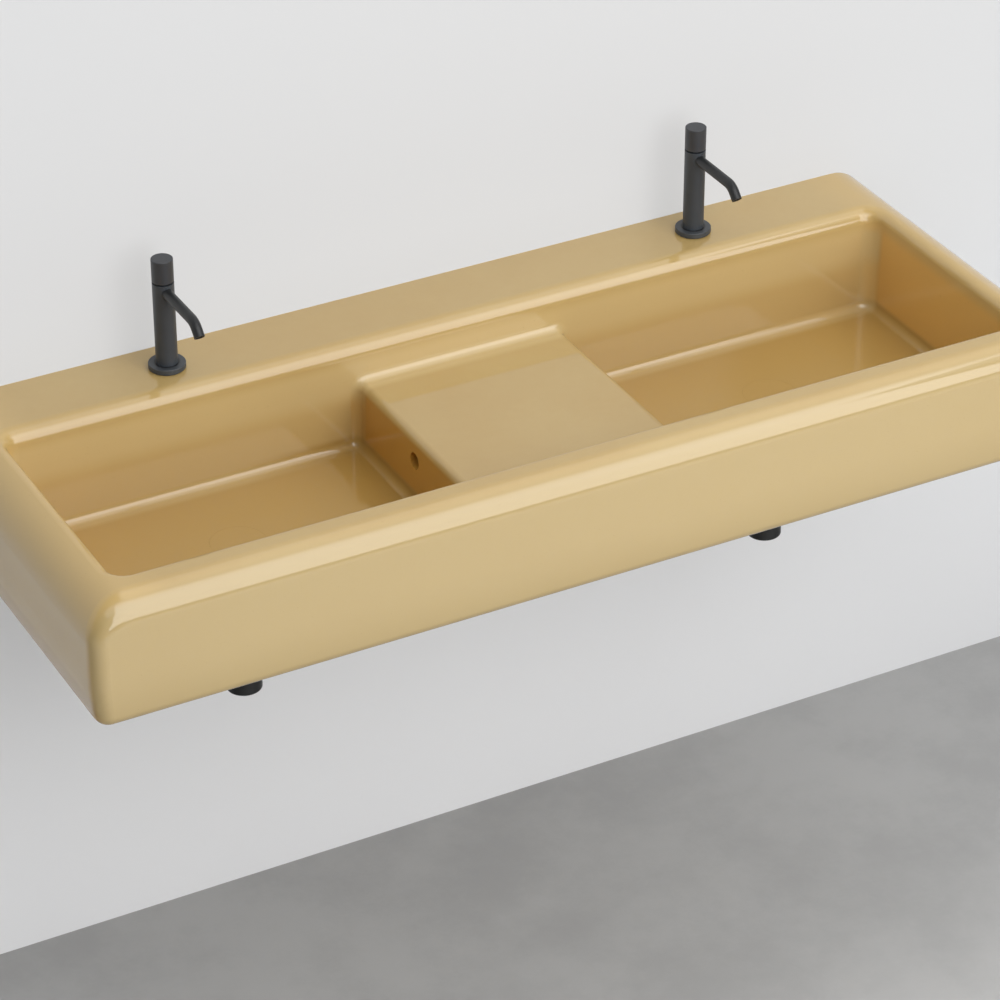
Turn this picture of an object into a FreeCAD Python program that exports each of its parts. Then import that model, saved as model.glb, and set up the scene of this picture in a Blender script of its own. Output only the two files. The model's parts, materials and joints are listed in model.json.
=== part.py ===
import FreeCAD, Part
import math
import os

os.makedirs("parts", exist_ok=True)

V = FreeCAD.Vector

# A wall-hung double washbasin in glazed ceramic, with a shelf between its two bowls,
# two pillar taps, two push-down wastes and two slim bottle traps.
# Millimetres. X runs along the wall, the front faces -Y, Z is up.
# The origin lies on the wall, in the middle of the line of wall bolts.

# Basin, outside
basin_width = 1208.0
basin_depth = 460.0
basin_height = 153.0
bolt_drop = 75.0
side_top_radius = 47.0
front_top_radius = 29.0
upright_edge_radius = 18.0
lower_edge_radius = 18.0
belly_drop = 92.0
belly_radius = 260.0
ceramic_wall = 12.0
underside_lip = 38.0

# Rim, bowls and shelf
deck_depth = 102.0
front_rim = 52.0
side_rim = 50.0
bowl_depth = 128.0
bowl_draft = 4.0
shelf_width = 258.0
shelf_drop = 48.0
bowl_corner_radius = 18.0
bowl_floor_radius = 10.0
shelf_edge_radius = 9.0
deck_edge_radius = 18.0
rim_edge_radius = 11.0

# Back of the basin
bolt_inner_spacing = 280.0
bolt_outer_spacing = 900.0
bolt_hole_radius = 5.25
bush_sleeve_radius = 9.0
bush_flange_radius = 16.0
bush_flange_thickness = 3.0
rib_spacing = 480.0
rib_thickness = 12.0

# Overflow
overflow_radius = 10.0
overflow_drop = 77.0
overflow_setback = 242.0
duct_width = 26.0
duct_height = 7.0
duct_roof = 10.0
duct_wall = 4.0
duct_headroom = 4.0

# Fits
fit_gap = 0.05
running_gap = 0.05
seat_gap = 0.3
overrun = 5.0
same_place_share = 1e-6

# Taps
tap_spacing = 672.0
tap_setback = 48.8
tap_hole_radius = 17.5
column_radius = 12.3
column_height = 107.0
column_bore_radius = 8.0
base_ring_radius = 21.0
base_ring_height = 7.0
base_ring_chamfer = 0.6
gasket_radius = 19.5
gasket_thickness = 1.2
shoulder_radius = 16.5
shoulder_thickness = 2.5
spigot_radius = 9.9
spigot_length = 11.0
tail_radius = 10.48
tail_bore_radius = 6.5
tail_length = 64.0
tail_chamfer = 1.0
rubber_washer_radius = 24.0
rubber_washer_thickness = 3.0
rubber_boss_height = 5.0
steel_washer_radius = 22.0
steel_washer_thickness = 1.5
backnut_across_flats = 27.0
backnut_height = 9.0

# Spout
spout_radius = 6.0
spout_wall = 1.2
spout_height = 97.5
spout_reach = 82.0
spout_stub = 18.0
spout_bend_radius = 20.0
spout_bend_degrees = 46.0
straightener_length = 6.0
straightener_recess = 0.6
straightener_hole_radius = 0.8
straightener_ring_radius = 2.9
straightener_hole_count = 6

# Tap valve, from its seat in the column up to the spindle's top
valve_bore_radius = 10.0
valve_seat_height = 85.0
seat_seal_thickness = 0.8
seat_seal_bore_radius = 5.5
disc_radius = 7.5
disc_thickness = 3.0
disc_port_radius = 1.8
housing_chamber_height = 17.0
housing_chamber_wall = 1.9
housing_waist_radius = 8.7
housing_land_height = 6.0
housing_window_width = 7.0
housing_window_height = 6.0
housing_neck_radius = 8.6
housing_neck_length = 6.0
oring_thickness = 1.4
oring_depth = 1.1
spindle_radius = 3.5
spindle_plate_radius = 6.3
spindle_plate_thickness = 2.0
spindle_seal_thickness = 1.2
spindle_seal_depth = 1.0
spindle_top_height = 124.0

# Knob
knob_gap = 2.0
knob_height = 27.0
knob_cavity_radius = 9.8
knob_cavity_height = 8.0
knob_edge_chamfer = 0.5
grub_screw_radius = 2.0
grub_screw_height = 11.5
grub_screw_recess = 0.8
grub_socket_across_flats = 2.0
grub_socket_depth = 2.5

# Waste, measured from the bowl's floor
waste_spacing = 675.0
waste_setback = 226.5
waste_hole_radius = 23.0
waste_boss_radius = 40.0
waste_flange_radius = 30.5
waste_flange_thickness = 2.0
waste_flange_chamfer = 0.5
waste_thread_radius = 20.95
waste_bore_radius = 17.5
waste_length = 76.0
waste_slot_width = 14.0
waste_top_gasket_thickness = 0.8
waste_gasket_radius = 31.0
waste_gasket_thickness = 3.0
waste_nut_across_flats = 54.0
waste_nut_height = 10.0

# Plug
plug_radius = 31.0
plug_thickness = 2.9
plug_edge_radius = 0.4
plug_seal_thickness = 2.0
plunger_spigot_radius = 6.0
plunger_head_radius = 14.0
plunger_head_thickness = 1.5
plunger_radius = 4.0
plunger_foot_radius = 5.6
plunger_foot_length = 3.0
plug_travel = 8.0
guide_hub_radius = 8.0
guide_hub_length = 22.0
guide_drop = 20.0
guide_arm_width = 4.0
guide_arm_height = 6.0
guide_arm_count = 3
guide_rim_wall = 1.5

# Bottle trap, measured down from the end of the waste's thread
trap_gasket_thickness = 2.0
trap_collar_thickness = 3.0
trap_inlet_radius = 16.8
trap_inlet_bore_radius = 14.0
trap_inlet_length = 16.0
trap_chamber_radius = 24.0
trap_chamber_wall = 3.0
trap_chamber_height = 42.0
trap_top_thickness = 4.0
trap_skirt_wall = 2.2
trap_skirt_length = 16.0
slip_nut_radius = 27.0
slip_nut_grip = 12.0
slip_nut_lip = 3.0
slip_nut_flute_count = 12
slip_nut_flute_radius = 2.5
dip_tube_radius = 12.0
dip_tube_wall = 1.5
dip_tube_flange_radius = 13.8
dip_tube_flange_thickness = 2.0
dip_tube_clearance = 20.0
cup_radius = 20.5
cup_wall = 2.0
cup_floor = 3.0
cup_edge_radius = 2.0
cup_length = 50.3
cup_seal_thickness = 1.2

# Trap outlet to the wall
outlet_radius = 16.0
outlet_wall = 1.5
outlet_insertion = 40.0
outlet_mark_width = 1.0
outlet_mark_depth = 0.4
port_radius = 19.5
port_length = 26.0
port_depth = 20.0
outlet_seal_thickness = 2.5
rosette_radius = 36.0
rosette_thickness = 8.0
rosette_edge_radius = 3.0
rosette_wall = 2.0

# Places worked out from the sizes above, heights measured from the wall bolts
rim_z = bolt_drop
bottom_z = rim_z - basin_height
belly_z = rim_z - belly_drop
floor_z = rim_z - bowl_depth
shelf_z = rim_z - shelf_drop
front_y = -basin_depth
deck_y = -deck_depth
bowl_front_y = front_y + front_rim
bowl_half_width = basin_width / 2 - side_rim
shelf_half_width = shelf_width / 2
tap_y = -tap_setback
waste_y = -waste_setback
overflow_y = -overflow_setback
recess_depth = waste_top_gasket_thickness + waste_flange_thickness + seat_gap + plug_thickness
recess_radius = plug_radius + seat_gap
duct_top = floor_z - duct_roof
duct_bottom = duct_top - duct_height
boss_bottom = duct_bottom - duct_wall
boss_thickness = floor_z - boss_bottom
hexagon_share = 1 / math.cos(math.radians(30))
sides = {"left": -1, "right": 1}


def cylinder(radius, low, high, x=0, y=0):
    """An upright round bar between two heights."""
    return Part.makeCylinder(radius, high - low, V(x, y, low))


def ring(outer, inner, low, high, x=0, y=0):
    """An upright round bar with a hole along its axis."""
    hole = cylinder(inner, low - overrun, high + overrun, x, y)
    return cylinder(outer, low, high, x, y).cut(hole)


def bar_along_y(radius, start, end, x=0, z=0):
    """A level round bar that runs away from the front, from start to end."""
    return Part.makeCylinder(radius, end - start, V(x, start, z), V(0, 1, 0))


def ring_along_y(outer, inner, start, end, x=0, z=0):
    """A level round tube that runs away from the front."""
    hole = bar_along_y(inner, start - overrun, end + overrun, x, z)
    return bar_along_y(outer, start, end, x, z).cut(hole)


def block(x_low, x_high, y_low, y_high, z_low, z_high):
    """A plain box between two corners."""
    corner = V(x_low, y_low, z_low)
    return Part.makeBox(x_high - x_low, y_high - y_low, z_high - z_low, corner)


def hexagon(across_flats, low, high):
    """An upright six-sided bar."""
    radius = across_flats / 2 * hexagon_share
    turns = [math.radians(60 * k) for k in range(7)]
    points = [V(radius * math.cos(a), radius * math.sin(a), low) for a in turns]
    face = Part.Face(Part.makePolygon(points))
    return face.extrude(V(0, 0, high - low))


def points_of(edge):
    """An edge's end points and its middle."""
    middle = edge.valueAt((edge.FirstParameter + edge.LastParameter) / 2)
    return [v.Point for v in edge.Vertexes] + [middle]


def edges_where(shape, test):
    """The edges of a shape whose every end and middle point passes a test."""
    return [edge for edge in shape.Edges if all(test(p) for p in points_of(edge))]


def rounded(shape, radius, test):
    """The shape with the edges that pass a test rounded."""
    return shape.makeFillet(radius, edges_where(shape, test))


def near(a, b):
    """True where two places are the same within a small tolerance."""
    return abs(a - b) < basin_width * same_place_share


def joined(shapes):
    """The shapes made one solid, with the seams between flush faces taken out."""
    result = shapes[0]
    for shape in shapes[1:]:
        result = result.fuse(shape)
    return result.removeSplitter()


def moved(shape, x, y, z):
    """A copy of a shape at another place."""
    copy = shape.copy()
    copy.translate(V(x, y, z))
    return copy


def arc(start, centre, end, radius):
    """A round stretch of less than half a turn, from start to end round a centre."""
    middle = start.add(end).multiply(1 / 2)
    outward = middle.sub(centre)
    outward.normalize()
    return Part.Arc(start, centre.add(outward.multiply(radius)), end).toShape()


def end_outline(inset, y):
    """The basin's outline seen from the front, drawn at y: upright walls that curve in low down."""
    half, low, high = basin_width / 2 - inset, bottom_z + inset, rim_z - inset
    top, big, small = side_top_radius - inset, belly_radius - inset, lower_edge_radius - inset
    drop = belly_z - low - small
    reach = math.sqrt((big - small) ** 2 - drop ** 2)
    lean = math.atan2(drop, reach)
    turn_x = half - big + reach
    edges = []
    for side in (1, -1):
        start, shoulder = V(side * (half - top), y, high), V(side * half, y, high - top)
        belly = V(side * half, y, belly_z)
        foot_x = turn_x + small * math.cos(lean)
        foot = V(side * foot_x, y, low + small - small * math.sin(lean))
        end = V(side * turn_x, y, low)
        edges.append(arc(start, V(side * (half - top), y, high - top), shoulder, top))
        edges.append(Part.LineSegment(shoulder, belly).toShape())
        edges.append(arc(belly, V(side * (half - big), y, belly_z), foot, big))
        edges.append(arc(foot, V(side * turn_x, y, low + small), end, small))
    edges.append(Part.LineSegment(V(-turn_x, y, low), V(turn_x, y, low)).toShape())
    edges.append(Part.LineSegment(V(top - half, y, high), V(half - top, y, high)).toShape())
    return Part.Face(Part.Wire(Part.sortEdges(edges)[0]))


def front_at(z, inset):
    """How far forward the front face lies at a height."""
    big = belly_radius - inset
    below = max(belly_z - z, 0)
    return front_y + inset + big - math.sqrt(big ** 2 - below ** 2)


def space_under_front(inset):
    """What the front's lower curve takes off a block with a flat front."""
    low = bottom_z - overrun
    start = V(-basin_width, front_at(belly_z, inset), belly_z)
    end = V(-basin_width, front_at(low, inset), low)
    centre = V(-basin_width, start.y + belly_radius - inset, belly_z)
    corners = [end, V(end.x, start.y - overrun, low), V(end.x, start.y - overrun, belly_z), start]
    edges = [arc(start, centre, end, belly_radius - inset)]
    for a, b in zip(corners, corners[1:]):
        edges.append(Part.LineSegment(a, b).toShape())
    return Part.Face(Part.Wire(edges)).extrude(V(basin_width * 2, 0, 0))


def softened(shape, chosen, radius_at):
    """The chosen edges rounded, with the radius that each of their ends asks for."""
    document = FreeCAD.newDocument("soft")
    base = document.addObject("Part::Feature", "base")
    base.Shape = shape
    soft = document.addObject("Part::Fillet", "soft")
    soft.Base = base
    fillets = []
    for number, edge in enumerate(base.Shape.Edges, 1):
        if chosen(points_of(edge)):
            first, last = [radius_at(edge.valueAt(t)) for t in (edge.FirstParameter, edge.LastParameter)]
            fillets.append((number, first, last))
    soft.Edges = fillets
    document.recompute()
    result = soft.Shape.copy()
    FreeCAD.closeDocument("soft")
    return result


def basin_block(inset):
    """The basin's outer form, or the space inside it when it is inset by a wall."""
    face = end_outline(inset, -inset)
    block = face.extrude(V(0, front_y + inset * 2, 0)).cut(space_under_front(inset)).Solids[0]

    def on_front(points):
        level = all(near(p.z, belly_z) for p in points)
        return not level and all(near(p.y, front_at(p.z, inset)) for p in points)

    def radius_at(p):
        if near(p.z, rim_z - inset):
            return front_top_radius - inset
        if near(p.z, bottom_z + inset):
            return lower_edge_radius - inset
        return upright_edge_radius - inset

    return softened(block, on_front, radius_at)


def rectangle(x_half, y_low, y_high, z):
    """The corners of a level rectangle, centred across the basin."""
    return [V(-x_half, y_low, z), V(x_half, y_low, z), V(x_half, y_high, z), V(-x_half, y_high, z)]


def leaning_block(top, low):
    """A block whose four flat sides lean from one level rectangle to another."""
    outlines = [top, low]
    for k in range(4):
        n = (k + 1) % 4
        outlines.append([low[k], low[n], top[n], top[k]])
    faces = [Part.Face(Part.makePolygon(o + o[:1])) for o in outlines]
    return Part.Solid(Part.Shell(faces))


def hollow_of_bowls(grow):
    """Both bowls and the space over the shelf, grown by the thickness of the ceramic."""
    lean = bowl_draft / bowl_depth
    top, low = rim_z + overrun, floor_z - grow
    rise, fall = (top - rim_z) * lean, (rim_z - low) * lean
    x, y1, y2 = bowl_half_width + grow, bowl_front_y - grow, deck_y + grow
    hollow = leaning_block(
        rectangle(x + rise, y1 - rise, y2 + rise, top),
        rectangle(x - fall, y1 + fall, y2 - fall, low),
    )
    s, high = shelf_half_width - grow, shelf_z - grow
    spread = (high - low) * lean
    under = lean * overrun
    shelf = leaning_block(
        rectangle(s, y1 - overrun, y2 + overrun, high),
        rectangle(s + spread + under, y1 - overrun, y2 + overrun, low - overrun),
    )
    return hollow.cut(shelf)


def is_outer_corner(p):
    """True beside the four upright corners at the far ends of the bowls."""
    return abs(p.x) > bowl_half_width - bowl_draft * 2 and p.z < rim_z + overrun * 2


def is_shelf_edge(p):
    """True along the shelf's two long edges."""
    return near(p.z, shelf_z) and near(abs(p.x), shelf_half_width)


def bowls():
    """The bowls' space as the glaze sees it, with every inside corner rounded."""
    raw = hollow_of_bowls(0)
    upright = [
        e for e in edges_where(raw, is_outer_corner)
        if abs(e.Vertexes[0].Z - e.Vertexes[1].Z) > bowl_depth / 2
    ]
    soft = raw.makeFillet(bowl_corner_radius, upright)
    soft = rounded(soft, shelf_edge_radius, is_shelf_edge)
    inside = []
    for edge in soft.Edges:
        points = points_of(edge)
        on_wall = [near_wall(p) for p in points]
        on_floor = all(near(p.z, floor_z) for p in points)
        under_rim = all(p.z < shelf_z + shelf_edge_radius for p in points)
        inner = all(abs(p.x) < shelf_half_width + bowl_draft for p in points)
        if on_floor or (under_rim and inner and all(on_wall)):
            inside.append(edge)
    return soft.makeFillet(bowl_floor_radius, inside)


def near_wall(p):
    """True on the bowls' leaning front or back wall."""
    fall = (rim_z - p.z) * bowl_draft / bowl_depth
    return near(p.y, deck_y - fall) or near(p.y, bowl_front_y + fall)


def on_rim(p):
    """True along the opening's edge, where the bowls' walls meet the rim's plane."""
    inside = abs(p.x) < bowl_half_width + overrun and bowl_front_y - overrun < p.y < deck_y + overrun
    return inside and near(p.z, rim_z)


def rim_radius_at(p):
    """The rim's edge radius at a point of the opening."""
    return deck_edge_radius if near(p.y, deck_y) else rim_edge_radius


def overflow_duct(side, hollow):
    """The overflow's riser and its duct under the floor, solid or as their inside."""
    wall = 0 if hollow else duct_wall
    half = duct_width / 2 + wall
    top = rim_z - overflow_drop + overflow_radius + duct_headroom + wall
    riser_face = shelf_half_width - ceramic_wall + (overrun if not hollow else 0)
    riser_back = shelf_half_width - ceramic_wall - duct_height - wall
    low, high = duct_bottom - wall, duct_top + wall
    reach = waste_spacing / 2 - (waste_hole_radius - overrun if hollow else 0)
    riser = block(riser_back, riser_face, overflow_y - half, overflow_y + half, low, top)
    duct = block(riser_back, reach, overflow_y - half, overflow_y + half, low, high)
    shape = riser.fuse(duct)
    if side < 0:
        shape = shape.mirror(V(0, 0, 0), V(1, 0, 0))
    return shape


def basin_body():
    """The ceramic: one hollow casting, open underneath, with its holes."""
    hollowed = basin_block(0).cut(bowls()).Solids[0]
    skin = softened(hollowed, lambda points: all(on_rim(p) for p in points), rim_radius_at)
    inside = basin_block(ceramic_wall).cut(hollow_of_bowls(ceramic_wall))
    half = basin_width / 2 - underside_lip
    low, high = bottom_z - overrun, bottom_z + ceramic_wall
    opening = block(-half, half, front_y + underside_lip, -ceramic_wall, low, high)
    body = skin.cut(inside).cut(opening.cut(hollow_of_bowls(ceramic_wall)))
    added, removed = [], []
    for side in sides.values():
        x = side * waste_spacing / 2
        added.append(cylinder(waste_boss_radius, boss_bottom, floor_z - ceramic_wall / 2, x, waste_y))
        added.append(overflow_duct(side, False))
        added.append(rib(side))
        removed.append(overflow_duct(side, True))
        removed.append(cylinder(waste_hole_radius, boss_bottom - overrun, floor_z, x, waste_y))
        removed.append(cylinder(recess_radius, floor_z - recess_depth, floor_z + overrun, x, waste_y))
        removed.append(cylinder(tap_hole_radius, shelf_z, rim_z + overrun, side * tap_spacing / 2, tap_y))
        removed.append(overflow_hole(side))
        for spacing in (bolt_inner_spacing, bolt_outer_spacing):
            start = -ceramic_wall - overrun
            removed.append(bar_along_y(bush_sleeve_radius, start, overrun, side * spacing / 2))
    for shape in added:
        body = body.fuse(shape)
    for shape in removed:
        body = body.cut(shape)
    return body.removeSplitter()


def rib(side):
    """A web that ties the back wall to the bowls' back."""
    x = side * rib_spacing / 2
    low, high = bottom_z + ceramic_wall, rim_z - ceramic_wall
    web = block(
        x - rib_thickness / 2, x + rib_thickness / 2,
        deck_y + ceramic_wall / 2, -ceramic_wall / 2, low, high + ceramic_wall / 2,
    )
    return web


def overflow_hole(side):
    """The round hole in the shelf's side wall."""
    start = shelf_half_width - ceramic_wall - duct_height / 2
    end = shelf_half_width + bowl_draft + overrun
    hole = Part.makeCylinder(
        overflow_radius, end - start, V(start * side, overflow_y, rim_z - overflow_drop), V(side, 0, 0),
    )
    return hole


def wall_fixing_bushes():
    """Four plastic bushes that line the bolt holes in the back wall."""
    bushes = []
    for spacing in (bolt_inner_spacing, bolt_outer_spacing):
        for side in sides.values():
            x = side * spacing / 2
            sleeve = bar_along_y(bush_sleeve_radius - fit_gap, -ceramic_wall, 0, x)
            start = -ceramic_wall - bush_flange_thickness
            flange = bar_along_y(bush_flange_radius, start, -ceramic_wall, x)
            hole = bar_along_y(bolt_hole_radius, -basin_depth, overrun, x)
            bushes.append(joined([sleeve, flange]).cut(hole))
    return Part.makeCompound(bushes)


# Tap, built with its axis upright at the origin and its foot on the deck at height zero

shoulder_top = gasket_thickness + shoulder_thickness
knob_bottom = column_height + knob_gap
knob_top = knob_bottom + knob_height
fixed_disc_low = valve_seat_height + seat_seal_thickness
turning_disc_low = fixed_disc_low + disc_thickness + running_gap
plate_low = turning_disc_low + disc_thickness
chamber_top = valve_seat_height + housing_chamber_height
land_radius = valve_bore_radius - fit_gap
chamber_radius = land_radius - housing_chamber_wall
lower_land_top = valve_seat_height + housing_land_height
upper_land_low = column_height - housing_land_height
grub_z = knob_bottom + grub_screw_height


def tap_column():
    """The upright body: a tube with the valve's bore at its top and the tail's at its foot."""
    column = cylinder(column_radius, shoulder_top, column_height)
    spigot_hole = cylinder(spigot_radius + fit_gap, shoulder_top - overrun, shoulder_top + spigot_length)
    waterway = cylinder(column_bore_radius, shoulder_top, column_height)
    valve_hole = cylinder(valve_bore_radius, valve_seat_height, column_height + overrun)
    spout_hole = bar_along_y(spout_radius + fit_gap, -column_radius * 2, 0, 0, spout_height)
    return column.cut(spigot_hole).cut(waterway).cut(valve_hole).cut(spout_hole)


def tap_base_ring():
    """The round foot that covers the tail's shoulder."""
    foot = cylinder(base_ring_radius, gasket_thickness, base_ring_height)
    foot = foot.makeChamfer(base_ring_chamfer, edges_where(foot, lambda p: near(p.z, base_ring_height)))
    recess = cylinder(shoulder_radius + fit_gap, gasket_thickness - overrun, shoulder_top)
    hole = cylinder(column_radius + fit_gap, gasket_thickness, base_ring_height + overrun)
    return foot.cut(recess).cut(hole)


def tap_gasket():
    """The seal between the tap's foot and the glazed deck."""
    return ring(gasket_radius, tail_radius + fit_gap, 0, gasket_thickness)


def tap_tail():
    """The threaded tail that passes through the deck, with its shoulder and spigot."""
    shank = cylinder(tail_radius, -tail_length, gasket_thickness)
    shank = shank.makeChamfer(tail_chamfer, edges_where(shank, lambda p: near(p.z, -tail_length)))
    shoulder = cylinder(shoulder_radius, gasket_thickness, shoulder_top)
    spigot = cylinder(spigot_radius, shoulder_top, shoulder_top + spigot_length)
    bore = cylinder(tail_bore_radius, -tail_length - overrun, shoulder_top + spigot_length + overrun)
    return joined([shank, shoulder, spigot]).cut(bore)


def tap_rubber_washer():
    """The washer under the deck, with a boss that centres the tail in its hole."""
    under = -ceramic_wall
    flat = cylinder(rubber_washer_radius, under - rubber_washer_thickness, under)
    boss = cylinder(tap_hole_radius - seat_gap, under, under + rubber_boss_height)
    hole = cylinder(tail_radius + fit_gap, under * 2 - overrun, 0)
    return joined([flat, boss]).cut(hole)


def tap_steel_washer():
    """The steel washer under the rubber one."""
    top = -ceramic_wall - rubber_washer_thickness
    return ring(steel_washer_radius, tail_radius + fit_gap, top - steel_washer_thickness, top)


def tap_backnut():
    """The six-sided nut that clamps the tap to the deck."""
    top = -ceramic_wall - rubber_washer_thickness - steel_washer_thickness
    hole = cylinder(tail_radius + fit_gap, top - backnut_height - overrun, top + overrun)
    return hexagon(backnut_across_flats, top - backnut_height, top).cut(hole)


def spout_run(radius):
    """A round bar along the spout's line: level, bent down, then straight."""
    turn = math.radians(spout_bend_degrees)
    setback = spout_bend_radius * math.tan(turn / 2)
    bend_y = -(spout_reach - setback)
    level = bar_along_y(radius, bend_y, 0, 0, spout_height)
    centre = V(0, bend_y, spout_height - spout_bend_radius)
    circle = Part.Circle(V(0, bend_y, spout_height), V(0, 1, 0), radius)
    face = Part.Face(Part.Wire(circle.toShape()))
    bend = face.revolve(centre, V(1, 0, 0), spout_bend_degrees)
    down = V(0, -math.cos(turn), -math.sin(turn))
    start = V(0, -spout_reach, spout_height).add(down * setback)
    stub = Part.makeCylinder(radius, spout_stub - setback, start, down)
    return joined([level, bend, stub])


def tap_spout():
    """The bent tube, coped where it meets the bore of the column."""
    bore = cylinder(valve_bore_radius, spout_height - column_radius, spout_height + column_radius)
    return spout_run(spout_radius).cut(spout_run(spout_radius - spout_wall)).cut(bore)


def flow_straightener():
    """The pierced plastic plug in the spout's mouth."""
    turn = math.radians(spout_bend_degrees)
    radius = spout_radius - spout_wall - fit_gap
    insert = cylinder(radius, 0, straightener_length)
    hole = cylinder(straightener_hole_radius, -overrun, straightener_length + overrun)
    insert = insert.cut(hole)
    for k in range(straightener_hole_count):
        a = 2 * math.pi * k / straightener_hole_count
        x, y = straightener_ring_radius * math.cos(a), straightener_ring_radius * math.sin(a)
        insert = insert.cut(moved(hole, x, y, 0))
    insert.rotate(V(0, 0, 0), V(1, 0, 0), -(90 - spout_bend_degrees))
    along = spout_stub - straightener_recess
    y = -spout_reach - along * math.cos(turn)
    z = spout_height - along * math.sin(turn)
    return moved(insert, 0, y, z)


def valve_housing():
    """The cartridge's brass shell: two sealing lands, a waist with windows, and a neck."""
    top = column_height + housing_neck_length
    lower = cylinder(land_radius, valve_seat_height, lower_land_top)
    waist = cylinder(housing_waist_radius, lower_land_top, upper_land_low)
    upper = cylinder(land_radius, upper_land_low, column_height)
    neck = cylinder(housing_neck_radius, column_height, top)
    shell = joined([lower, waist, upper, neck])
    chamber_low = cylinder(disc_radius + fit_gap, valve_seat_height - overrun, turning_disc_low)
    chamber = cylinder(chamber_radius - fit_gap, turning_disc_low, chamber_top)
    shell = shell.cut(chamber_low).cut(chamber)
    shell = shell.cut(cylinder(spindle_radius + running_gap, chamber_top - overrun, top + overrun))
    half = housing_window_width / 2
    window_top = plate_low + spindle_plate_thickness + housing_window_height
    window = block(-half, half, -valve_bore_radius, valve_bore_radius, lower_land_top, window_top)
    grooves = [oring_seat(z) for z in oring_heights()] + [spindle_seal_seat()]
    for shape in [window] + grooves:
        shell = shell.cut(shape)
    return shell


def oring_heights():
    """The heights of the two sealing rings, in the middle of their lands."""
    return [(valve_seat_height + lower_land_top) / 2, (upper_land_low + column_height) / 2]


def oring_seat(z):
    """The groove of a sealing ring round the housing."""
    half = oring_thickness / 2 + fit_gap
    return ring(column_radius, land_radius - oring_depth, z - half, z + half)


def spindle_seal_seat():
    """The groove inside the housing for the spindle's seal."""
    z = column_height + housing_neck_length / 2
    half = spindle_seal_thickness / 2 + fit_gap
    return cylinder(spindle_radius + running_gap + spindle_seal_depth, z - half, z + half)


def valve_seals():
    """The seat seal, two rings round the housing and one round the spindle."""
    seat = ring(disc_radius, seat_seal_bore_radius, valve_seat_height, fixed_disc_low)
    seals = [seat]
    half = oring_thickness / 2
    for z in oring_heights():
        seals.append(ring(land_radius, land_radius - oring_depth + fit_gap, z - half, z + half))
    z = column_height + housing_neck_length / 2
    half = spindle_seal_thickness / 2
    outer = spindle_radius + running_gap + spindle_seal_depth - fit_gap
    seals.append(ring(outer, spindle_radius + running_gap, z - half, z + half))
    return Part.makeCompound(seals)


def valve_disc(low, radius, turned):
    """A ceramic disc with two ports; a quarter turn moves its ports off the other's."""
    disc = cylinder(radius, low, low + disc_thickness)
    for sign in (-1, 1):
        offset = sign * radius / 2
        x, y = (0, offset) if turned else (offset, 0)
        disc = disc.cut(cylinder(disc_port_radius, low - overrun, low + disc_thickness + overrun, x, y))
    return disc


def valve_fixed_disc():
    """The disc that stays still in the housing."""
    return valve_disc(fixed_disc_low, disc_radius, False)


def valve_turning_disc():
    """The disc that turns with the spindle, shut when the tap is shut."""
    return valve_disc(turning_disc_low, chamber_radius - seat_gap * 2, True)


def valve_spindle():
    """The spindle that joins the knob to the turning disc."""
    plate = cylinder(spindle_plate_radius, plate_low, plate_low + spindle_plate_thickness)
    for sign in (-1, 1):
        y = sign * (chamber_radius - seat_gap * 2) / 2
        plate = plate.cut(cylinder(disc_port_radius, plate_low - overrun, plate_low + overrun, 0, y))
    shaft = cylinder(spindle_radius, plate_low, spindle_top_height)
    dimple = bar_along_y(grub_screw_radius, spindle_radius - grub_screw_recess, column_radius, 0, grub_z)
    hole_clear = plate.fuse(shaft).removeSplitter()
    return hole_clear.cut(dimple)


def tap_knob():
    """The turning cap, hollow where it covers the valve's neck."""
    cap = cylinder(column_radius, knob_bottom, knob_top)
    cap = cap.makeChamfer(knob_edge_chamfer, edges_where(cap, lambda p: near(p.z, knob_top)))
    cavity = cylinder(knob_cavity_radius, knob_bottom - overrun, knob_bottom + knob_cavity_height)
    socket = cylinder(spindle_radius + fit_gap, knob_bottom, spindle_top_height + fit_gap)
    thread = bar_along_y(grub_screw_radius + fit_gap, 0, column_radius + overrun, 0, grub_z)
    return cap.cut(cavity).cut(socket).cut(thread)


def knob_grub_screw():
    """The small screw at the back that holds the knob on its spindle."""
    start = spindle_radius - grub_screw_recess + fit_gap
    end = column_radius - grub_screw_recess
    screw = bar_along_y(grub_screw_radius, start, end, 0, grub_z)
    socket = hexagon(grub_socket_across_flats, 0, grub_socket_depth + overrun)
    socket.rotate(V(0, 0, 0), V(1, 0, 0), -90)
    return screw.cut(moved(socket, 0, end - grub_socket_depth, grub_z))


# Waste and plug, built with their axis upright at the origin and the bowl's floor at height zero

flange_low = waste_top_gasket_thickness - recess_depth
flange_top = flange_low + waste_flange_thickness
plug_low = -plug_thickness
seal_low = plug_low - plug_seal_thickness
stem_top = seal_low - plunger_head_thickness
guide_top = -guide_drop
guide_low = guide_top - guide_hub_length
stem_low = guide_low - plug_travel - seat_gap
waste_end = -waste_length


def waste_body():
    """The metal waste: a flat flange and a threaded tube with overflow slots."""
    flange = cylinder(waste_flange_radius, flange_low, flange_top)
    flange = flange.makeChamfer(waste_flange_chamfer, edges_where(flange, lambda p: near(p.z, flange_top)))
    tube = cylinder(waste_thread_radius, waste_end, flange_low)
    bore = cylinder(waste_bore_radius, waste_end - overrun, flange_top + overrun)
    slot_low, slot_high = duct_bottom - floor_z, duct_top - floor_z
    half = waste_slot_width / 2
    slots = block(-waste_hole_radius, waste_hole_radius, -half, half, slot_low, slot_high)
    return joined([flange, tube]).cut(bore).cut(slots)


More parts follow.
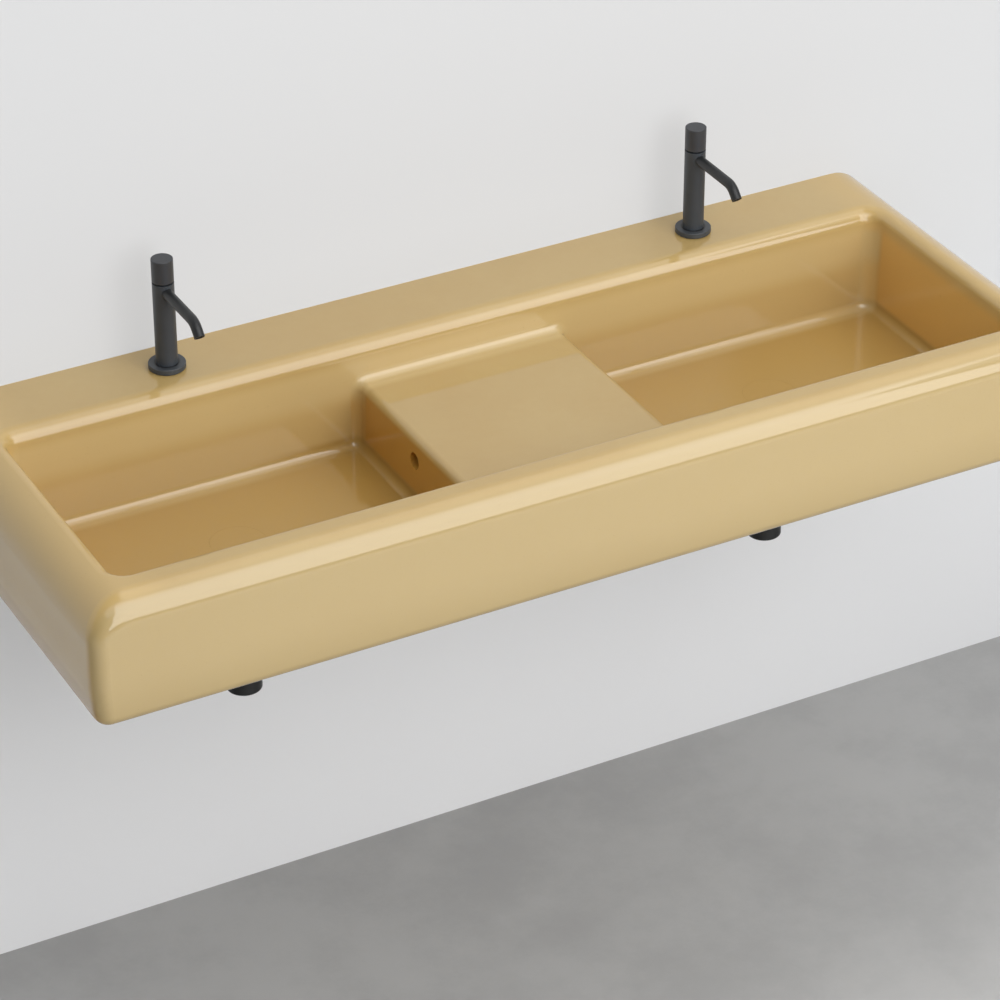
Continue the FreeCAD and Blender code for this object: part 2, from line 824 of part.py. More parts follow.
def waste_gaskets():
    """The thin seal under the flange and the thick one under the ceramic."""
    top = ring(waste_flange_radius, waste_thread_radius + fit_gap, -recess_depth, flange_low)
    low = -boss_thickness - waste_gasket_thickness
    under = ring(waste_gasket_radius, waste_thread_radius + fit_gap, low, -boss_thickness)
    return [top, under]


def waste_backnut():
    """The nut that clamps the waste from below."""
    top = -boss_thickness - waste_gasket_thickness
    hole = cylinder(waste_thread_radius + fit_gap, top - waste_nut_height - overrun, top + overrun)
    return hexagon(waste_nut_across_flats, top - waste_nut_height, top).cut(hole)


def waste_plug():
    """The glazed cover that shuts the waste, flush with the bowl's floor."""
    cover = cylinder(plug_radius, plug_low, 0)
    return rounded(cover, plug_edge_radius, lambda p: near(p.z, 0))


def plug_seal():
    """The rubber ring under the cover, which fills the waste's throat."""
    return ring(waste_bore_radius - seat_gap, plunger_spigot_radius + fit_gap, seal_low, plug_low)


def plug_plunger():
    """The stem that slides in the guide: a head that clamps the seal, and a foot."""
    spigot = cylinder(plunger_spigot_radius, seal_low, plug_low)
    head = cylinder(plunger_head_radius, stem_top, seal_low)
    stem = cylinder(plunger_radius, stem_low, stem_top)
    foot = cylinder(plunger_foot_radius, stem_low - plunger_foot_length, stem_low)
    return joined([spigot, head, stem, foot])


def waste_guide():
    """The spider inside the waste: a hub on arms, held in the tube by a thin rim."""
    hub = cylinder(guide_hub_radius, guide_low, guide_top)
    outer = waste_bore_radius - fit_gap
    arm_low = guide_top - guide_arm_height
    shapes = [hub, ring(outer, outer - guide_rim_wall, arm_low, guide_top)]
    half = guide_arm_width / 2
    for k in range(guide_arm_count):
        arm = block(0, outer - guide_rim_wall / 2, -half, half, arm_low, guide_top)
        arm.rotate(V(0, 0, 0), V(0, 0, 1), 360 * k / guide_arm_count)
        shapes.append(arm)
    bore = cylinder(plunger_radius + running_gap, guide_low - overrun, guide_top + overrun)
    return joined(shapes).cut(bore)


# Bottle trap, in the same frame as the waste

collar_top = waste_end - trap_gasket_thickness
collar_low = collar_top - trap_collar_thickness
chamber_high = collar_low - trap_inlet_length
chamber_low = chamber_high - trap_chamber_height
skirt_low = chamber_low - trap_skirt_length
skirt_radius = cup_radius - cup_wall - fit_gap
outlet_z = chamber_high - trap_chamber_height / 2
cup_top = chamber_low - cup_seal_thickness
cup_low = cup_top - cup_length
dip_ledge = chamber_high + trap_top_thickness
port_end = trap_chamber_radius + port_length
wall_face = waste_setback


def trap_body():
    """The trap's head: inlet, chamber, side outlet and a skirt for the cup."""
    collar = cylinder(waste_thread_radius, collar_low, collar_top)
    inlet = cylinder(trap_inlet_radius, chamber_high, collar_low)
    chamber = cylinder(trap_chamber_radius, chamber_low, chamber_high)
    skirt = cylinder(skirt_radius, skirt_low, chamber_low)
    port = bar_along_y(port_radius, 0, port_end, 0, outlet_z)
    shape = joined([collar, inlet, chamber, skirt, port])
    chamber_bore = trap_chamber_radius - trap_chamber_wall
    room = cylinder(chamber_bore, chamber_low + trap_top_thickness, chamber_high - trap_top_thickness)
    way_in = cylinder(trap_inlet_bore_radius, dip_ledge, collar_top + overrun)
    tube_hole = cylinder(dip_tube_radius + fit_gap, chamber_low, dip_ledge + fit_gap)
    way_down_top = chamber_low + trap_top_thickness
    way_down = cylinder(skirt_radius - trap_skirt_wall, skirt_low - overrun, way_down_top)
    way_out = bar_along_y(outlet_radius - outlet_wall, 0, port_end, 0, outlet_z)
    socket = bar_along_y(outlet_radius + fit_gap, port_end - port_depth, port_end + overrun, 0, outlet_z)
    for space in (room, way_in, tube_hole, way_down, way_out, socket):
        shape = shape.cut(space)
    return shape


def trap_dip_tube():
    """The tube that carries the water down into the cup."""
    low = cup_low + cup_floor + dip_tube_clearance
    tube = cylinder(dip_tube_radius, low, dip_ledge + dip_tube_flange_thickness)
    flange = cylinder(dip_tube_flange_radius, dip_ledge, dip_ledge + dip_tube_flange_thickness)
    bore = cylinder(dip_tube_radius - dip_tube_wall, low - overrun, collar_top)
    return joined([tube, flange]).cut(bore)


def trap_cup():
    """The cup that holds the water and unscrews for cleaning."""
    cup = cylinder(cup_radius, cup_low, cup_top)
    cup = rounded(cup, cup_edge_radius, lambda p: near(p.z, cup_low))
    return cup.cut(cylinder(cup_radius - cup_wall, cup_low + cup_floor, cup_top + overrun))


def trap_seals():
    """The inlet's flat seal, the cup's seal and the outlet's ring."""
    inlet = ring(waste_thread_radius, trap_inlet_bore_radius, collar_top, waste_end)
    cup = ring(cup_radius, cup_radius - cup_wall, cup_top, chamber_low)
    outlet = ring_along_y(
        port_radius, outlet_radius + fit_gap, port_end, port_end + outlet_seal_thickness, 0, outlet_z,
    )
    return Part.makeCompound([inlet, cup, outlet])


def fluted(nut, low, high):
    """A slip nut with finger flutes round its outside."""
    for k in range(slip_nut_flute_count):
        a = 2 * math.pi * k / slip_nut_flute_count
        x, y = slip_nut_radius * math.cos(a), slip_nut_radius * math.sin(a)
        nut = nut.cut(cylinder(slip_nut_flute_radius, low - overrun, high + overrun, x, y))
    return nut


def slip_nut(thread_radius, lip_radius, seal_thickness):
    """A round nut: a thread above and a lip below, built from height zero downwards."""
    grip_low = -slip_nut_grip - seal_thickness
    nut = cylinder(slip_nut_radius, grip_low - slip_nut_lip, 0)
    nut = nut.cut(cylinder(thread_radius + fit_gap, grip_low, overrun))
    nut = nut.cut(cylinder(lip_radius + fit_gap, grip_low - slip_nut_lip - overrun, 0))
    return fluted(nut, grip_low - slip_nut_lip, 0)


def trap_slip_nuts():
    """The nut at the trap's inlet and the one at its outlet."""
    stack = trap_gasket_thickness + trap_collar_thickness
    inlet = slip_nut(waste_thread_radius, trap_inlet_radius, stack)
    inlet = moved(inlet, 0, 0, waste_end + slip_nut_grip)
    outlet = slip_nut(port_radius, outlet_radius, outlet_seal_thickness)
    outlet.rotate(V(0, 0, 0), V(1, 0, 0), 90)
    outlet = moved(outlet, 0, port_end - slip_nut_grip, outlet_z)
    return [inlet, outlet]


def trap_outlet_tube():
    """The level tube that runs from the trap into the wall, with a groove that marks the wall's face."""
    start, end = port_end - port_depth, wall_face + outlet_insertion
    tube = ring_along_y(outlet_radius, outlet_radius - outlet_wall, start, end, 0, outlet_z)
    bottom, mark_end = outlet_radius - outlet_mark_depth, wall_face + outlet_mark_width
    return tube.cut(ring_along_y(port_radius, bottom, wall_face, mark_end, 0, outlet_z))


def wall_rosette():
    """The dished cover round the tube at the wall."""
    start = wall_face - rosette_thickness
    shell = bar_along_y(rosette_radius, start, wall_face, 0, outlet_z)
    shell = rounded(shell, rosette_edge_radius, lambda p: near(p.y, start))
    dish = start + rosette_wall
    inner = bar_along_y(rosette_radius - rosette_wall, dish, wall_face + overrun, 0, outlet_z)
    hole = bar_along_y(outlet_radius + fit_gap, start - overrun, wall_face, 0, outlet_z)
    return shell.cut(inner).cut(hole)


def save(name, shape):
    """Writes one node and says what it is made of."""
    shape.exportStep("parts/" + name + ".step")
    print(name, "solids", len(shape.Solids), "valid", shape.isValid(), "volume", round(shape.Volume, 1))


tap_pieces = {
    "tap_column": tap_column,
    "tap_base_ring": tap_base_ring,
    "tap_gasket": tap_gasket,
    "tap_tail": tap_tail,
    "tap_backnut": tap_backnut,
    "tap_spout": tap_spout,
    "spout_flow_straightener": flow_straightener,
    "valve_housing": valve_housing,
    "valve_fixed_disc": valve_fixed_disc,
    "valve_turning_disc": valve_turning_disc,
    "valve_spindle": valve_spindle,
    "valve_seals": valve_seals,
    "tap_knob": tap_knob,
    "knob_grub_screw": knob_grub_screw,
}
shared_tap_pieces = {
    "tap_rubber_washers": tap_rubber_washer,
    "tap_steel_washers": tap_steel_washer,
}
waste_pieces = {
    "waste_body": waste_body,
    "waste_backnut": waste_backnut,
    "waste_plug": waste_plug,
    "plug_seal": plug_seal,
    "plug_plunger": plug_plunger,
    "waste_guide": waste_guide,
    "trap_body": trap_body,
    "trap_dip_tube": trap_dip_tube,
    "trap_cup": trap_cup,
    "trap_seals": trap_seals,
    "trap_outlet_tube": trap_outlet_tube,
}
shared_waste_pieces = {
    "waste_gaskets": waste_gaskets,
    "trap_slip_nuts": trap_slip_nuts,
    "wall_rosettes": lambda: [wall_rosette()],
}


def at_tap(shape, side):
    """A tap's piece carried to its hole in the deck."""
    return moved(shape, side * tap_spacing / 2, tap_y, rim_z)


def at_waste(shape, side):
    """A waste's piece carried to its hole in the bowl."""
    return moved(shape, side * waste_spacing / 2, waste_y, floor_z)


save("basin_body", basin_body())
save("wall_fixing_bushes", wall_fixing_bushes())
for side_name, side in sides.items():
    for name, make in tap_pieces.items():
        save(side_name + "_" + name, at_tap(make(), side))
    for name, make in waste_pieces.items():
        save(side_name + "_" + name, at_waste(make(), side))
for name, make in shared_tap_pieces.items():
    save(name, Part.makeCompound([at_tap(make(), side) for side in sides.values()]))
for name, make in shared_waste_pieces.items():
    save(name, Part.makeCompound([at_waste(s, side) for side in sides.values() for s in make()]))
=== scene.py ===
# %% [markdown]
# A wall-hung double washbasin in ochre glaze, with two slim black pillar taps and two black
# bottle traps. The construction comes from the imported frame, so nothing here moves or resizes
# it. This lesson dresses it: the glaze, the satin black coatings, brass, rubber and plastic, and
# the small turned details that a plain solid lacks. It starts with the frame and the camera.

# %% Load the frame
import json
import math

import bmesh
import bpy
from mathutils import Matrix, Vector

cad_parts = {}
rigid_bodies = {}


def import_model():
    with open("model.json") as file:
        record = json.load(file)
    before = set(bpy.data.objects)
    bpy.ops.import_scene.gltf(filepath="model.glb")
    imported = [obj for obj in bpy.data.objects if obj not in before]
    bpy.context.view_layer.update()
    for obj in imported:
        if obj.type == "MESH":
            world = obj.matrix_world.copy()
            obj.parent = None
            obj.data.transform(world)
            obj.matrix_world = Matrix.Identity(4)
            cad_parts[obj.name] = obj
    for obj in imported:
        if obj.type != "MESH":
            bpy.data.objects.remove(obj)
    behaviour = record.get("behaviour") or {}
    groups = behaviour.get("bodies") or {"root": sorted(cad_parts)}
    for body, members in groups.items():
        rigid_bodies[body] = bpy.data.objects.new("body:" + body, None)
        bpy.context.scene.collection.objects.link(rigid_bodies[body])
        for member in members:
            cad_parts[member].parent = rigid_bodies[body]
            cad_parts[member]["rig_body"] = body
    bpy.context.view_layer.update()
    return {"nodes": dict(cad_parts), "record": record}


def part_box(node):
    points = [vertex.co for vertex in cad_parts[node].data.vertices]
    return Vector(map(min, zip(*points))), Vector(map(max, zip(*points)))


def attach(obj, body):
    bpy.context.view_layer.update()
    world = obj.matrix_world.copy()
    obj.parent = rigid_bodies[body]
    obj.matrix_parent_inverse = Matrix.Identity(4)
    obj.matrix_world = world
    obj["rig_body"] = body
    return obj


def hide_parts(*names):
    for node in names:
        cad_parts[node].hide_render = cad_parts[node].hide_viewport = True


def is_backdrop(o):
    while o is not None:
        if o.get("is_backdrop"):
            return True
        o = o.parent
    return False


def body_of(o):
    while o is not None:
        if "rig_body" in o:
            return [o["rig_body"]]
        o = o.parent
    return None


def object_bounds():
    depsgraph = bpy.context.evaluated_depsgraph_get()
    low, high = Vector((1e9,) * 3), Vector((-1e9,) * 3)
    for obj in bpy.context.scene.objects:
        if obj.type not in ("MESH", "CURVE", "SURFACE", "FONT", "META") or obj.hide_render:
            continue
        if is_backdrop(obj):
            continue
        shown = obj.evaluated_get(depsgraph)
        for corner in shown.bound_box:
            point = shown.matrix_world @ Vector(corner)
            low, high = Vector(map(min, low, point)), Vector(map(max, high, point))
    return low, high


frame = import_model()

nodes = frame["nodes"]
scene = bpy.context.scene

# %% [markdown]
# Many finishes change with the place on the basin, so a few landmarks come first. The outer ones
# are the corners of the casting's box. The inner ones are the shelf and the bowls' floors,
# measured down from the rim, the deck's front edge, measured from the wall, the outer end of the
# bowls, measured from the casting's end, and half the shelf's width.

# %% Landmarks on the basin, in metres
basin_low, basin_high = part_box("basin_body")
front_y, end_x, rim_z = basin_low.y, basin_high.x, basin_high.z
shelf_z = rim_z - 0.048
bowl_floor_z = rim_z - 0.128
deck_y = -0.102
bowl_end_x = end_x - 0.032
shelf_end_x = 0.129
print("rim", round(rim_z, 4), "underside", round(basin_low.z, 4), "front", round(front_y, 4))

# %% [markdown]
# The camera stands high and to the left of the basin and looks down its length with a long
# lens, which keeps the far end nearly as large as the near one. Its place was solved from the
# straight edges of the basin and of the wall, so it is written as a real place and direction.

# %% Camera
camera_place = Vector((-1.7657, -3.4969, rim_z + 2.1524))
camera_forward = Vector((0.4000, 0.7473, -0.5306)).normalized()
camera_right = Vector((0.8817, -0.4719, 0.0)).normalized()
camera_up = camera_right.cross(camera_forward)
lens_mm = 140.17
sensor_mm = 36.0

camera_data = bpy.data.cameras.new("camera")
camera_data.lens = lens_mm
camera_data.sensor_width = sensor_mm
camera = bpy.data.objects.new("camera", camera_data)
scene.collection.objects.link(camera)
axes = Matrix((camera_right, camera_up, -camera_forward)).transposed()
camera.matrix_world = Matrix.Translation(camera_place) @ axes.to_4x4()
scene.camera = camera
scene.view_settings.view_transform = "Standard"
print("camera at", [round(v, 3) for v in camera_place])

# %% [markdown]
# Shader maths reads best as plain expressions. The class below wraps the output socket of a
# node, so that a * b + 1 adds Math nodes by itself. Its steps and bands are the masks that the
# finishes are painted with, and its mix takes two colours.

# %% Expressions that make shader nodes
class Socket:
    """One output of a node, with the arithmetic that adds Math nodes."""

    def __init__(self, tree, output):
        self.tree = tree
        self.output = output

    def node(self, kind, inputs=(), out=0, **settings):
        """A new node in the same tree, as the socket of its output."""
        return add_node(self.tree, kind, inputs, out, **settings)

    def math(self, operation, *others):
        """A Math node on this value and the others."""
        return self.node("ShaderNodeMath", dict(enumerate((self, *others))), operation=operation)

    def __add__(self, other):
        return self.math("ADD", other)

    def __radd__(self, other):
        return self.math("ADD", other)

    def __sub__(self, other):
        return self.math("SUBTRACT", other)

    def __rsub__(self, other):
        return self.node("ShaderNodeMath", {0: other, 1: self}, operation="SUBTRACT")

    def __mul__(self, other):
        return self.math("MULTIPLY", other)

    def __rmul__(self, other):
        return self.math("MULTIPLY", other)

    def __truediv__(self, other):
        return self.math("DIVIDE", other)

    def clamped(self):
        """The same value held between 0 and 1."""
        return self.node("ShaderNodeClamp", {0: self})

    def step(self, low, high):
        """0 below low, 1 above high, smooth between."""
        settings = {"interpolation_type": "SMOOTHSTEP"}
        return self.node("ShaderNodeMapRange", {0: self, 1: low, 2: high}, **settings)

    def band(self, low, high, edge):
        """0 outside low and high, and 1 between them, past a smooth edge of this width at each."""
        return self.step(low, low + edge) * (1.0 - self.step(high - edge, high))

    def mix(self, first, second):
        """The colour that goes from first to second as this value goes from 0 to 1."""
        inputs = {0: self, 6: first, 7: second}
        return self.node("ShaderNodeMix", inputs, out=2, data_type="RGBA")


print("shader maths ready")

# %% [markdown]
# Any other node comes from one function that takes its type, its settings and the values or
# links of its inputs. It works for shader trees and for geometry trees. A second one starts a
# material: what is the same all over the surface goes straight onto the Principled shader.

# %% Nodes and materials
def add_node(tree, kind, inputs=(), out=0, **settings):
    """A node with its settings, then its inputs: numbers, colours, or sockets to link."""
    node = tree.nodes.new(kind)
    for name, value in settings.items():
        setattr(node, name, value)
    for key, value in dict(inputs).items():
        socket = node.inputs[key]
        if isinstance(value, Socket):
            tree.links.new(value.output, socket)
        elif hasattr(value, "__len__") and len(socket.default_value) == 4:
            socket.default_value = (*value, 1.0)
        else:
            socket.default_value = value
    return Socket(tree, node.outputs[out])


def new_material(name, **surface):
    """A material whose Principled shader has the given plain values."""
    material = bpy.data.materials.new(name)
    material.use_nodes = True
    shader = material.node_tree.nodes["Principled BSDF"]
    for key, value in surface.items():
        socket = shader.inputs[key.replace("_", " ")]
        plain = not hasattr(socket.default_value, "__len__")
        socket.default_value = value if plain else (*value, 1.0)
    return material, material.node_tree, shader


def feed(shader, **sockets):
    """Links sockets into a shader's inputs."""
    for key, value in sockets.items():
        value.tree.links.new(value.output, shader.inputs[key.replace("_", " ")])


print("node functions ready")

# %% [markdown]
# Every pattern is written in metres on the Object coordinates. Each piece's object stands at the
# origin, with its place in its mesh, so these coordinates are the real place, and a pattern has
# its real scale and runs on from one piece to the next.

# %% Places, noise and bumps in metres
noise_middle = 0.5


def place_on(tree):
    """The point on the piece, in metres in the object's frame."""
    return add_node(tree, "ShaderNodeTexCoord", out=3)


def axis_of(point, letter):
    """One coordinate of a point."""
    return point.node("ShaderNodeSeparateXYZ", {0: point}, out="XYZ".index(letter))


def noise(point, size, detail=2.0, rough=0.5):
    """Soft random values from 0 to 1, whose patches are about this size in metres."""
    inputs = {"Vector": point, "Scale": 1.0 / size, "Detail": detail, "Roughness": rough}
    return point.node("ShaderNodeTexNoise", inputs, noise_dimensions="3D")


def bump(height, depth):
    """A normal bent by a height from 0 to 1, whose full size is depth in metres."""
    return height.node("ShaderNodeBump", {"Strength": 1.0, "Distance": depth, "Height": height})


def varied(colour, less, more):
    """A darker and a lighter form of a colour, by these shares of it."""
    return [c * (1 - less) for c in colour], [c * (1 + more) for c in colour]


print("pattern functions ready")

# %% [markdown]
# The glaze is a thick layer of coloured glass on a white clay body, even and glossy. Light and
# shade are painted into its colour: painted shade, deeper and more saturated, low in the bowls
# and darkest on the left bowl's floor by the shelf, a greyer painted shade on the upright front,
# painted light on the bowls' back walls and towards the basin's ends, warmer painted light on the
# bowls' end walls, and saturated painted shade on the shelf's flanks. A map of this would need an
# image, so each part of the basin is a mask made from the place on it, and each mask has its own
# colour. The pairs below are the places between which a mask comes up or fades.

# %% Where light and shade are painted on the glaze
front_fades = front_y + 0.006, front_y + 0.020
deep_shade_fades = shelf_z - 0.030, shelf_z - 0.004
rim_begins = rim_z - 0.030, rim_z - 0.010
floor_fades = bowl_floor_z + 0.008, bowl_floor_z + 0.018
shelf_begins = shelf_z - 0.012, shelf_z - 0.004
back_begins = deck_y - 0.026, deck_y - 0.014
ends_begin = end_x - 0.104, end_x - 0.048
end_wall = bowl_end_x - 0.037, bowl_end_x, 0.012
flank = shelf_end_x - 0.009, shelf_end_x + 0.013, 0.004
corner_begins = -shelf_end_x - 0.171, -shelf_end_x - 0.021
corner_stops = -0.020, 0.000
deep_shade_on_back = 0.4


def painted_light_zones(place):
    """The masks of the parts where light or shade is painted on the glaze, by name, in the order they are
    laid.
    """
    x, y, z = [axis_of(place, letter) for letter in "XYZ"]
    off_middle = x.math("ABSOLUTE")
    # Every mask here marks painted light or shade: shade on the front, low in the bowls, on the shelf's
    # flanks and in the corner by it; light on the back walls, the ends and the end walls.
    front = 1.0 - y.step(*front_fades)
    # Painted shade low in the bowls, below the shelf's height.
    deep_shade = (1.0 - z.step(*deep_shade_fades)) * (1.0 - front)
    below_rim = 1.0 - z.step(*rim_begins)
    below_shelf = 1.0 - z.step(*shelf_begins)
    above_floor = z.step(*floor_fades)
    back = y.step(*back_begins) * below_rim * (1.0 - deep_shade * deep_shade_on_back)
    between = above_floor * (1.0 - back) * (1.0 - front)
    in_corner = x.step(*corner_begins) * (1.0 - x.step(*corner_stops))
    return {
        "front": front,
        "deep_shade": deep_shade,
        "ends": off_middle.step(*ends_begin) * above_floor * (1.0 - front),
        "back": back,
        "end walls": off_middle.band(*end_wall) * below_rim * between,
        "flanks": off_middle.band(*flank) * below_shelf * between,
        "corner": in_corner * deep_shade * (1.0 - above_floor),
    }


# Painted shade deepens below this height, and the front's painted shade lies in front of this line.
print("glaze pools below", round(deep_shade_fades[1], 3), "and runs in front of", round(front_fades[1], 3))

# %% [markdown]
# On top of the painted light and shade, noise gives faint clouds of colour, a fine mottle and a
# few specks that show that the basin was fired. The surface rolls gently, so that reflections
# bend, and has a faint peel. The gloss is two layers: a sharp one that mirrors the window, and a
# wide soft coat that spreads its glow. The ground back, which stands against the wall, is bare clay.

# %% Glaze
glaze_deep = (0.488, 0.325, 0.110)
glaze_thin = (0.522, 0.369, 0.141)
# The colours of the painted light and shade, with the share each is laid on at: darker for painted shade,
# paler or warmer for painted light.
painted_light_looks = {
    "front": ((0.426, 0.313, 0.132), 0.8),
    "deep_shade": ((0.455, 0.275, 0.067), 0.8),
    "ends": ((0.568, 0.388, 0.140), 0.8),
    "back": ((0.612, 0.456, 0.210), 0.8),
    "end walls": ((0.740, 0.430, 0.110), 0.8),
    "flanks": ((0.530, 0.265, 0.035), 0.9),
    "corner": ((0.385, 0.225, 0.045), 0.8),
}
cloud_size, cloud_share = 0.160, 0.8
mottle_size, mottle_share = 0.012, 0.2
cloud_floor, cloud_contrast = 0.3, 2.2
speck_colour, speck_size, speck_share = (0.30, 0.19, 0.07), 0.0016, 0.35
speck_begins = 0.735, 0.79
fired_clay = (0.71, 0.66, 0.57)
bare_begins = -0.0014, -0.0009
glaze_roughness, bare_roughness = 0.045, 0.6
haze_size, haze_amount = 0.05, 0.02
roll_size, roll_share = 0.070, 0.8
peel_size, peel_share = 0.0060, 0.02
relief_depth = 0.00010


def make_glaze():
    """The ochre glaze, and the bare clay where it stops."""
    material, tree, shader = new_material(
        "ochre_glaze", IOR=1.67, Coat_Weight=0.6, Coat_Roughness=0.55, Coat_IOR=1.5,
    )
    place = place_on(tree)
    clouds = noise(place, cloud_size, detail=3.0)
    mottle = noise(place, mottle_size, detail=4.0, rough=0.6)
    amount = (clouds * cloud_share + mottle * mottle_share - cloud_floor) * cloud_contrast
    colour = amount.clamped().mix(glaze_deep, glaze_thin)
    # Each zone's painted light or shade is mixed over the glaze by its mask.
    for zone, mask in painted_light_zones(place).items():
        zone_colour, share = painted_light_looks[zone]
        colour = (mask * share).mix(colour, zone_colour)
    speck = noise(place, speck_size, detail=1.0).step(*speck_begins)
    colour = (speck * speck_share).mix(colour, speck_colour)
    bare = axis_of(place, "Y").step(*bare_begins)
    haze = noise(place, haze_size) * haze_amount
    relief = noise(place, roll_size, detail=1.0) * roll_share + noise(place, peel_size) * peel_share
    feed(
        shader,
        Base_Color=bare.mix(colour, fired_clay),
        Roughness=glaze_roughness + haze + bare * bare_roughness,
        Normal=bump(relief, relief_depth),
    )
    return material


glaze = make_glaze()
print("glaze made with", len(glaze.node_tree.nodes), "shader nodes")

# %% [markdown]
# The taps, and the traps below, have a satin black coating over turned brass. A fine grain
# breaks the highlight softly, and larger patches make it slightly uneven, as sprayed coatings
# are. The taps' column and foot have lighter copies of the black and the spout a darker one,
# which is painted light and shade for how each part catches the room's light. Where the column
# meets its foot, the foot has a painted shadow, a dark ring measured from the taps' axes, which
# the frame gives.

# %% The painted shadow round the taps' columns
column_low, column_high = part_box("right_tap_column")
column_radius = (column_high.x - column_low.x) / 2
tap_x = (column_low.x + column_high.x) / 2
tap_y = column_high.y - column_radius
# The foot's painted shadow round the column fades out between these distances from the axis.
seam_shadow_fades = column_radius + 0.0008, column_radius + 0.0036
seam_shadow_black = (0.002, 0.002, 0.002)
print("tap axis", round(tap_x, 4), round(tap_y, 4), "seam", [round(v, 4) for v in seam_shadow_fades])

# %% Satin black coatings
coating_patch = 0.015
coating_grain_share, coating_patch_share = 0.5, 0.5
coating_spread = 0.2
coating_unevenness = 0.10
coating_depth = 0.00002
fine_grain, nylon_grain = 0.0006, 0.0009


def make_black(name, colour, roughness, grain_size=fine_grain, ior=1.5, seam=False):
    """A black coating or nylon with a grain of this size, with a painted shadow round the column if seam.
    """
    material, tree, shader = new_material(name, IOR=ior)
    place = place_on(tree)
    grain = noise(place, grain_size, detail=3.0, rough=0.7)
    patch = noise(place, coating_patch)
    shade = (grain * coating_grain_share + patch * coating_patch_share).clamped()
    tone = shade.mix(*varied(colour, coating_spread, coating_spread))
    # Painted shadow: darker near the column, fading out past its radius.
    if seam:
        across = axis_of(place, "X").math("ABSOLUTE") - tap_x
        along = axis_of(place, "Y") - tap_y
        off_axis = (across * across + along * along).math("SQRT")
        tone = off_axis.step(*seam_shadow_fades).mix(seam_shadow_black, tone)
    feed(
        shader,
        Base_Color=tone,
        Roughness=roughness + (patch - noise_middle) * coating_unevenness,
        Normal=bump(grain, coating_depth),
    )
    return material


# Painted light and shade: the column and the foot take lighter copies of the black and the spout a darker
# one, for how each catches the room's light.
black_metal = make_black("satin_black_coating", (0.038, 0.041, 0.047), 0.42)
black_column_painted_light = make_black("satin_black_column", (0.044, 0.052, 0.062), 0.42)
black_foot_painted_light = make_black("satin_black_foot", (0.050, 0.056, 0.063), 0.42, seam=True)
black_spout_painted_shade = make_black("satin_black_spout", (0.014, 0.015, 0.016), 0.42)
black_trap = make_black("deep_black_coating", (0.007, 0.007, 0.007), 0.38, ior=1.42)
black_plastic = make_black("black_nylon", (0.020, 0.020, 0.021), 0.50, nylon_grain)
print("black coatings made")

# %% [markdown]
# The hidden pieces are finished too. Brass and steel are turned on a lathe, which leaves fine
# rings round the axis that the highlight follows. A sine of the height gives them, because these
# pieces stand upright. The cartridge's neck shows as the dark line under each knob, so the brass
# is blackened from there up.

# %% Turned brass and steel
ring_pitch = 0.0007
metal_grain, metal_patch = 0.0012, 0.020
metal_grain_share, metal_patch_share = 0.3, 0.7
metal_ring_height, metal_grain_height = 0.25, 0.5
metal_spread = 0.18
metal_unevenness = 0.15
metal_depth = 0.00001
neck_begins = rim_z + 0.1045, rim_z + 0.1055
neck_black = (0.01, 0.01, 0.01)


def make_turned(name, colour, roughness):
    """Turned metal: fine rings round an upright axis, blackened where the taps' joint shows it."""
    material, tree, shader = new_material(name, Metallic=1.0)
    place = place_on(tree)
    rings = (axis_of(place, "Z") * (2 * math.pi / ring_pitch)).math("SINE")
    grain = noise(place, metal_grain, detail=3.0, rough=0.7)
    patch = noise(place, metal_patch, detail=3.0)
    shade = (patch * metal_patch_share + grain * metal_grain_share).clamped()
    tone = shade.mix(*varied(colour, metal_spread, 0.0))
    neck = axis_of(place, "Z").step(*neck_begins)
    relief = rings * metal_ring_height + grain * metal_grain_height
    feed(
        shader,
        Base_Color=neck.mix(tone, neck_black),
        Roughness=roughness + (grain - noise_middle) * metal_unevenness,
        Normal=bump(relief, metal_depth),
    )
    return material


brass = make_turned("turned_brass", (0.76, 0.57, 0.27), 0.28)
steel = make_turned("plated_steel", (0.62, 0.62, 0.63), 0.30)
print("turned metals made, a ring each", round(ring_pitch * 1000, 2), "mm")

# %% [markdown]
# Rubber is matt with a dusty bloom, nylon is slightly cloudy, and the cartridges' discs are
# ground ceramic. All three are plain solids that differ by colour, roughness and how strongly
# their patches show, so one function makes them.

# %% Rubber, nylon and ground ceramic
solid_grain, solid_patch = 0.0009, 0.011
solid_grain_share, solid_patch_share = 0.4, 0.6
solid_unevenness = 0.12
solid_depth = 0.00002


def make_solid(name, colour, roughness, spread):
    """A matt solid with faint patches and a fine grain, whose colour varies by this share."""
    material, tree, shader = new_material(name)
    place = place_on(tree)
    grain = noise(place, solid_grain, detail=3.0, rough=0.65)
    patch = noise(place, solid_patch)
    shade = grain * solid_grain_share + patch * solid_patch_share
    feed(
        shader,
        Base_Color=shade.mix(*varied(colour, spread, spread)),
        Roughness=roughness + (patch - noise_middle) * solid_unevenness,
        Normal=bump(grain, solid_depth),
    )
    return material


rubber = make_solid("black_rubber", (0.028, 0.028, 0.029), 0.72, 0.25)
white_plastic = make_solid("white_nylon", (0.74, 0.74, 0.70), 0.45, 0.05)
white_ceramic = make_solid("ground_ceramic", (0.84, 0.84, 0.81), 0.30, 0.04)
print("rubber, nylon and ceramic made")

# %% [markdown]
# Each node of the frame already has its true shape, so it only needs its finish. The record
# says which material slot a node belongs to. Within their slot, the taps' column and foot have a
# lighter black and the spout a darker one: painted light and shade.

# %% Dress every node of the frame
finish_of_slot = {
    "glaze": glaze,
    "black_metal": black_metal,
    "black_trap": black_trap,
    "black_plastic": black_plastic,
    "white_plastic": white_plastic,
    "brass": brass,
    "steel": steel,
    "rubber": rubber,
    "white_ceramic": white_ceramic,
}
